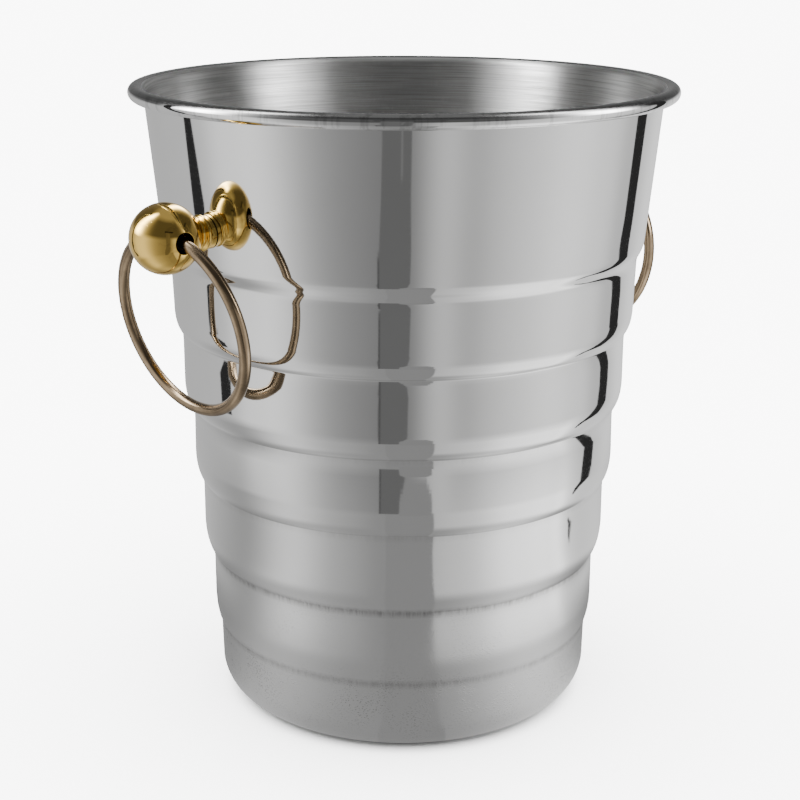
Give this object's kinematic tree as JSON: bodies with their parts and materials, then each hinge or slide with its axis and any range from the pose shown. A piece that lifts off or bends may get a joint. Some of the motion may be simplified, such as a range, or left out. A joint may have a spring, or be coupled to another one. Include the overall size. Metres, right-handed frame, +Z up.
{
  "type": "champagne bucket",
  "caption": "Tall stepped metal bucket with a rolled rim, for chilling a bottle in ice, with a ball knob on each side and a loose carrying ring through each ball.",
  "frame": {"origin": "centre of the standing face, at the bottom of the bucket", "axes": "+Z up along the bucket's axis, +X along the right knob's axis, Y along both rings' swing axes"},
  "size_m": [0.2514, 0.21, 0.2475],
  "materials": {
    "polished_silver": "mirror polished outside with fine wear, brushed inside",
    "polished_brass": "polished",
    "aged_brass": "dark patina, worn bright where it rubs",
    "screw_steel": "turned",
    "seal_rubber": "matt"
  },
  "bodies": {
    "bucket": {"bucket_body": "polished_silver", "left_ball": "polished_brass", "left_collar": "polished_brass", "left_saddle_washer": "polished_brass", "left_seal": "seal_rubber", "left_plate_washer": "screw_steel", "left_screw": "screw_steel", "right_ball": "polished_brass", "right_collar": "polished_brass", "right_saddle_washer": "polished_brass", "right_seal": "seal_rubber", "right_plate_washer": "screw_steel", "right_screw": "screw_steel"},
    "left_ring": {"left_ring": "aged_brass"},
    "right_ring": {"right_ring": "aged_brass"}
  },
  "joints": [
    {"name": "left_ring_swing", "type": "hinge", "parent": "bucket", "child": "left_ring", "pos_m": [-0.11305, 0, 0.2012], "axis": [0, 1, 0], "range_deg": [-10, 202]},
    {"name": "right_ring_swing", "type": "hinge", "parent": "bucket", "child": "right_ring", "pos_m": [0.11305, 0, 0.2012], "axis": [0, -1, 0], "range_deg": [-18, 195]}
  ]
}
